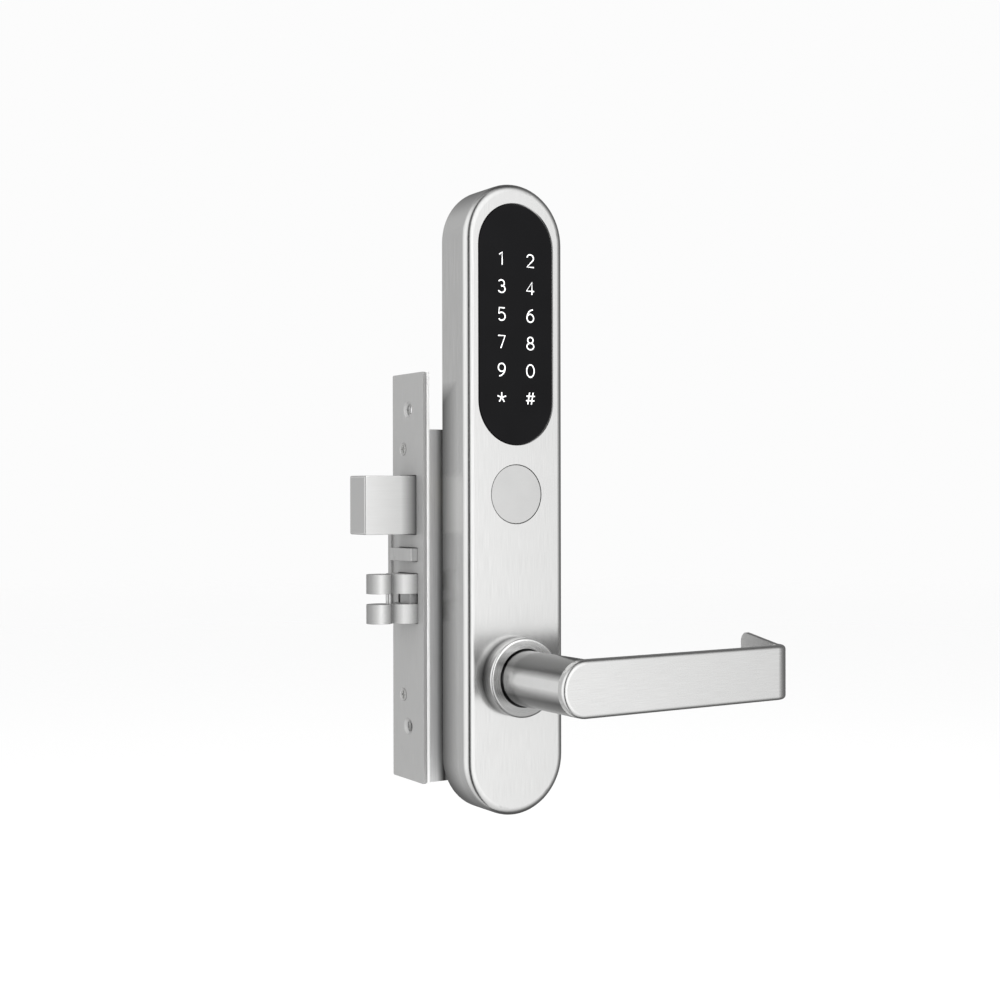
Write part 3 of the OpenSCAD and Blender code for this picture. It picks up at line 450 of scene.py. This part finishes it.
def ease_edges(name, width):
    """Rounds a CAD node's sharp edges, as deburring and polishing leave them."""
    piece = NODES[name]
    weld = piece.modifiers.new("weld", "WELD")
    weld.merge_threshold = WELD_DISTANCE
    merge = piece.modifiers.new("merge_flat", "DECIMATE")
    merge.decimate_type = "DISSOLVE"
    merge.angle_limit = FLAT_ANGLE
    edge = piece.modifiers.new("edge", "BEVEL")
    edge.limit_method = "ANGLE"
    edge.angle_limit = SHARP_ANGLE
    edge.width = width
    edge.segments = 2
    edge.use_clamp_overlap = True
    normals = piece.modifiers.new("normals", "WEIGHTED_NORMAL")
    normals.keep_sharp = True
    normals.weight = 100


for name, width in EDGES.items():
    ease_edges(name, width * MM)


# ---------------------------------------------------------------- springs

WIRE_RADIUS = 0.35 * MM


def coil_mesh(name, low, high, turns, steps=16, sides=8):
    """A coil spring along X that fills the box from low to high. A turn has so many steps, and
    its wire so many sides."""
    middle = (low + high) / 2
    radius = (high.y - low.y) / 2 - WIRE_RADIUS
    rise = (high.x - low.x - 2 * WIRE_RADIUS) / (turns * steps)
    points = []
    for i in range(turns * steps + 1):
        turn = 2 * math.pi * i / steps
        for j in range(sides):
            around = 2 * math.pi * j / sides
            reach = radius + WIRE_RADIUS * math.cos(around)
            points.append((low.x + WIRE_RADIUS * (1 + math.sin(around)) + i * rise,
                           middle.y + reach * math.cos(turn), middle.z + reach * math.sin(turn)))
    faces = [(i * sides + j, i * sides + (j + 1) % sides,
              (i + 1) * sides + (j + 1) % sides, (i + 1) * sides + j)
             for i in range(turns * steps) for j in range(sides)]
    ends = [tuple(range(sides)), tuple(turns * steps * sides + j for j in reversed(range(sides)))]
    mesh = bpy.data.meshes.new(name)
    mesh.from_pydata(points, [], faces + ends)
    mesh.shade_smooth()
    return mesh


def fit_spring(node, turns):
    """A spring that stands for a CAD node and is pressed together towards its rear end."""
    low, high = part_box(node)
    piece = bpy.data.objects.new(node + "_coil", coil_mesh(node + "_coil", low, high, turns))
    bpy.context.scene.collection.objects.link(piece)
    piece.data.materials.append(NODES[node].material_slots[0].material)
    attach(piece, "lock")
    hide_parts(node)
    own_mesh(piece)


fit_spring("latch_spring", turns=18)
fit_spring("aux_spring", turns=6)


# ---------------------------------------------------------------- key symbols

SYMBOL_HEIGHT = 6.0 * MM
SYMBOL_STROKE = 0.64 * MM
SYMBOL_LIFT = 0.03 * MM
KEY_COLUMNS = 2
KEY_COLUMN_PITCH = 16.4 * MM
KEY_ROW_PITCH = 13.3 * MM
KEYS_BELOW_MIDDLE = 2.1 * MM


def arc(x, z, radius_x, radius_z, start, end, steps=14):
    """Points along part of an ellipse, in degrees from +X towards +Z."""
    angles = [math.radians(start + (end - start) * i / steps) for i in range(steps + 1)]
    return [(x + radius_x * math.cos(a), z + radius_z * math.sin(a)) for a in angles]


def ellipse(x, z, radius_x, radius_z, steps=24):
    """A whole ellipse."""
    return arc(x, z, radius_x, radius_z, 0, 360, steps)


def ray(angle, length):
    """A stroke from the middle outwards."""
    return [(0, 0), (length * math.cos(math.radians(angle)), length * math.sin(math.radians(angle)))]


# Each symbol's strokes about its middle, where 1 is the symbol's height
SIX = [arc(0.26, -0.18, 0.58, 0.68, 92, 180), ellipse(0, -0.18, 0.32, 0.32)]
SYMBOLS = [
    ("digit_1", [[(-0.2, 0.3), (0.06, 0.5), (0.06, -0.5)]]),
    ("digit_2", [arc(0, 0.21, 0.31, 0.29, 170, -38) + [(-0.32, -0.5), (0.36, -0.5)]]),
    ("digit_3", [arc(-0.02, 0.25, 0.28, 0.25, 150, -90), arc(0, -0.22, 0.33, 0.28, 100, -155)]),
    ("digit_4", [[(0.16, -0.5), (0.16, 0.5), (-0.36, -0.22), (0.36, -0.22)]]),
    ("digit_5", [[(0.28, 0.5), (-0.22, 0.5), (-0.27, 0.05)] + arc(0, -0.18, 0.33, 0.32, 128, -145)]),
    ("digit_6", SIX),
    ("digit_7", [[(-0.33, 0.5), (0.33, 0.5), (-0.08, -0.5)]]),
    ("digit_8", [ellipse(0, 0.26, 0.26, 0.24), ellipse(0, -0.24, 0.33, 0.26)]),
    ("digit_9", [[(-x, -z) for x, z in stroke] for stroke in SIX]),
    ("digit_0", [ellipse(0, 0, 0.36, 0.5, steps=32)]),
    ("star", [ray(angle, 0.42) for angle in range(18, 378, 72)]),
    ("hash", [[(-0.26, -0.48), (-0.08, 0.48)], [(0.08, -0.48), (0.26, 0.48)],
              [(-0.38, 0.18), (0.42, 0.18)], [(-0.42, -0.18), (0.38, -0.18)]]),
]


def draw_symbol(name, strokes, place, material):
    """A key's symbol: round strokes flattened onto the glass."""
    curve = bpy.data.curves.new(name, "CURVE")
    curve.dimensions = "3D"
    curve.bevel_depth = SYMBOL_STROKE / 2
    curve.bevel_resolution = 3
    curve.use_fill_caps = True
    for stroke in strokes:
        closed = len(stroke) > 2 and (Vector(stroke[0]) - Vector(stroke[-1])).length < 1e-4
        points = stroke[:-1] if closed else stroke
        spline = curve.splines.new("POLY")
        spline.points.add(len(points) - 1)
        spline.use_cyclic_u = closed
        for point, (x, z) in zip(spline.points, points):
            point.co = (x * SYMBOL_HEIGHT, 0, z * SYMBOL_HEIGHT, 1)
    piece = bpy.data.objects.new(name, curve)
    bpy.context.scene.collection.objects.link(piece)
    piece.location = place
    piece.scale = (1, SYMBOL_LIFT / (SYMBOL_STROKE / 2), 1)
    curve.materials.append(material)
    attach(piece, "lock")


glass_low, glass_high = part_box("keypad_glass")
keys_middle = (glass_low.z + glass_high.z) / 2 - KEYS_BELOW_MIDDLE
last_row = len(SYMBOLS) // KEY_COLUMNS - 1
white = printed_white()
for index, (name, strokes) in enumerate(SYMBOLS):
    row, column = divmod(index, KEY_COLUMNS)
    x = (column - (KEY_COLUMNS - 1) / 2) * KEY_COLUMN_PITCH
    z = keys_middle + (last_row / 2 - row) * KEY_ROW_PITCH
    draw_symbol(name, strokes, (x, glass_low.y, z), white)


# ---------------------------------------------------------------- studio

BACKDROP = 0.973
STUDIO_STRENGTH = 1.6
FLOOR_Z = -0.25
FLOOR_RADIUS = 6
FLOOR_FADE = (1.0, 5.5)     # distances between which the floor fades out
FLOOR_GLOW = 0.76

# Brightness round the studio, by degrees from the front (-Y) towards the right (+X)
RING = [(-180, 0.26), (-166, 0.38), (-156, 0.39), (-149, 0.35), (-138, 0.45), (-125, 0.72),
        (-95, 0.85), (-66, 0.78), (-54, 0.05), (-34, 0.03), (-24, 0.5), (-15, 0.92), (8, 0.92),
        (28, 0.88), (31, 0.84), (35, 0.69), (43, 0.6), (47, 0.46), (56, 0.3), (70, 0.17),
        (90, 0.1), (155, 0.12), (180, 0.26)]
# Brightness from straight down to straight up, by degrees above the horizon
HEIGHT = [(-90, 0.6), (-50, 0.7), (-32, 0.85), (-17, 1.0), (35, 1.0), (50, 0.85), (65, 0.45),
          (90, 0.4)]

# Name, place, aim, size and power of each light
LIGHTS = [
    ("top_light", (0, -0.3, 1.6), (0, 0, 0), (1.5, 1.5), 18),
    ("front_light", (-0.31, -0.85, 0.15), (-0.03, 0.02, 0.05), (0.5, 1.0), 7),
]

CAMERA_PLACE = (-0.390, -0.631, 0.0871)
CAMERA_YAW = 32.09
CAMERA_TILT = -0.17
CAMERA_ROLL = -0.11
CAMERA_LENS = 54
CAMERA_SENSOR = 36


def grey_ramp(tree, stops, place_of):
    """A colour ramp with grey stops, each placed from 0 to 1 by place_of."""
    node = add_node(tree, "ValToRGB")
    ramp = node.color_ramp
    ramp.interpolation = "LINEAR"
    while len(ramp.elements) < len(stops):
        ramp.elements.new(0.5)
    for element, (place, grey) in zip(ramp.elements, stops):
        element.position = place_of(place)
        element.color = (grey, grey, grey, 1)
    return node


def studio_world():
    """A studio: soft boxes to the left and the front right, a dark gap between them beside the
    camera, a dim rear and dim ceiling. The camera itself sees a plain pale backdrop."""
    world = bpy.data.worlds.new("studio")
    world.use_nodes = True
    tree = world.node_tree
    tree.nodes.clear()
    direction = add_node(tree, "TexCoord")
    split = add_node(tree, "SeparateXYZ")
    forward = add_node(tree, "Math", operation="MULTIPLY")
    forward.inputs[1].default_value = -1
    angle = add_node(tree, "Math", operation="ARCTAN2")
    tree.links.new(direction.outputs["Generated"], split.inputs["Vector"])
    tree.links.new(split.outputs["Y"], forward.inputs[0])
    tree.links.new(split.outputs["X"], angle.inputs[0])
    tree.links.new(forward.outputs["Value"], angle.inputs[1])
    around = spread(tree, angle.outputs["Value"], 0, 1, start=-math.pi, end=math.pi)
    up = spread(tree, split.outputs["Z"], 0, 1, start=-1, end=1)
    walls = grey_ramp(tree, RING, lambda degrees: (degrees + 180) / 360)
    height = grey_ramp(tree, HEIGHT, lambda degrees: (math.sin(math.radians(degrees)) + 1) / 2)
    tree.links.new(around, walls.inputs["Fac"])
    tree.links.new(up, height.inputs["Fac"])
    light = multiplied(tree, walls.outputs["Color"], height.outputs["Color"])
    studio = add_node(tree, "Background")
    studio.inputs["Strength"].default_value = STUDIO_STRENGTH
    plain = add_node(tree, "Background")
    plain.inputs["Color"].default_value = (BACKDROP, BACKDROP, BACKDROP, 1)
    path = add_node(tree, "LightPath")
    choose = add_node(tree, "MixShader")
    out = add_node(tree, "OutputWorld")
    tree.links.new(light, studio.inputs["Color"])
    tree.links.new(path.outputs["Is Camera Ray"], choose.inputs["Fac"])
    tree.links.new(studio.outputs["Background"], choose.inputs[1])
    tree.links.new(plain.outputs["Background"], choose.inputs[2])
    tree.links.new(choose.outputs["Shader"], out.inputs["Surface"])
    bpy.context.scene.world = world


def lay_floor():
    """A wide pale floor that fades out into the backdrop."""
    bpy.ops.mesh.primitive_circle_add(vertices=96, radius=FLOOR_RADIUS, fill_type="NGON",
                                      location=(0, 0, FLOOR_Z))
    floor = bpy.context.object
    floor.name = "floor"
    floor.visible_glossy = False
    material, tree, surface = new_material("pale_floor", (0.3, 0.3, 0.3), 0.0, 0.9)
    position = add_node(tree, "TexCoord")
    distance = add_node(tree, "VectorMath", operation="LENGTH")
    tree.links.new(position.outputs["Object"], distance.inputs[0])
    fade = spread(tree, distance.outputs["Value"], 1, 0, *FLOOR_FADE)
    tree.links.new(fade, surface.inputs["Alpha"])
    surface.inputs["Emission Color"].default_value = (1, 1, 1, 1)
    surface.inputs["Emission Strength"].default_value = FLOOR_GLOW
    grains_per_metre = 300
    grain = noise(tree, even_position(tree, grains_per_metre))
    bump(tree, surface, grain, 0.05 * MM)
    floor.data.materials.append(material)


def soft_light(name, place, target, size, power):
    """A large soft area light that neither the camera nor a mirror image shows."""
    data = bpy.data.lights.new(name, "AREA")
    data.shape = "RECTANGLE"
    data.size, data.size_y = size
    data.energy = power
    light = bpy.data.objects.new(name, data)
    bpy.context.scene.collection.objects.link(light)
    light.location = place
    light.rotation_mode = "QUATERNION"
    light.rotation_quaternion = (Vector(target) - Vector(place)).to_track_quat("-Z", "Y")
    light.visible_camera = False
    light.visible_glossy = False


def set_camera():
    """The camera, in front of the door and to the left, level with the key cylinder."""
    data = bpy.data.cameras.new("camera")
    data.sensor_width = CAMERA_SENSOR
    data.lens = CAMERA_LENS
    camera = bpy.data.objects.new("camera", data)
    bpy.context.scene.collection.objects.link(camera)
    camera.matrix_world = (
        Matrix.Translation(CAMERA_PLACE)
        @ Matrix.Rotation(math.radians(-CAMERA_YAW), 4, "Z")
        @ Matrix.Rotation(math.radians(90 + CAMERA_TILT), 4, "X")
        @ Matrix.Rotation(math.radians(CAMERA_ROLL), 4, "Z")
    )
    bpy.context.scene.camera = camera


studio_world()
lay_floor()
for light in LIGHTS:
    soft_light(*light)
set_camera()
bpy.context.scene.view_settings.view_transform = "Standard"
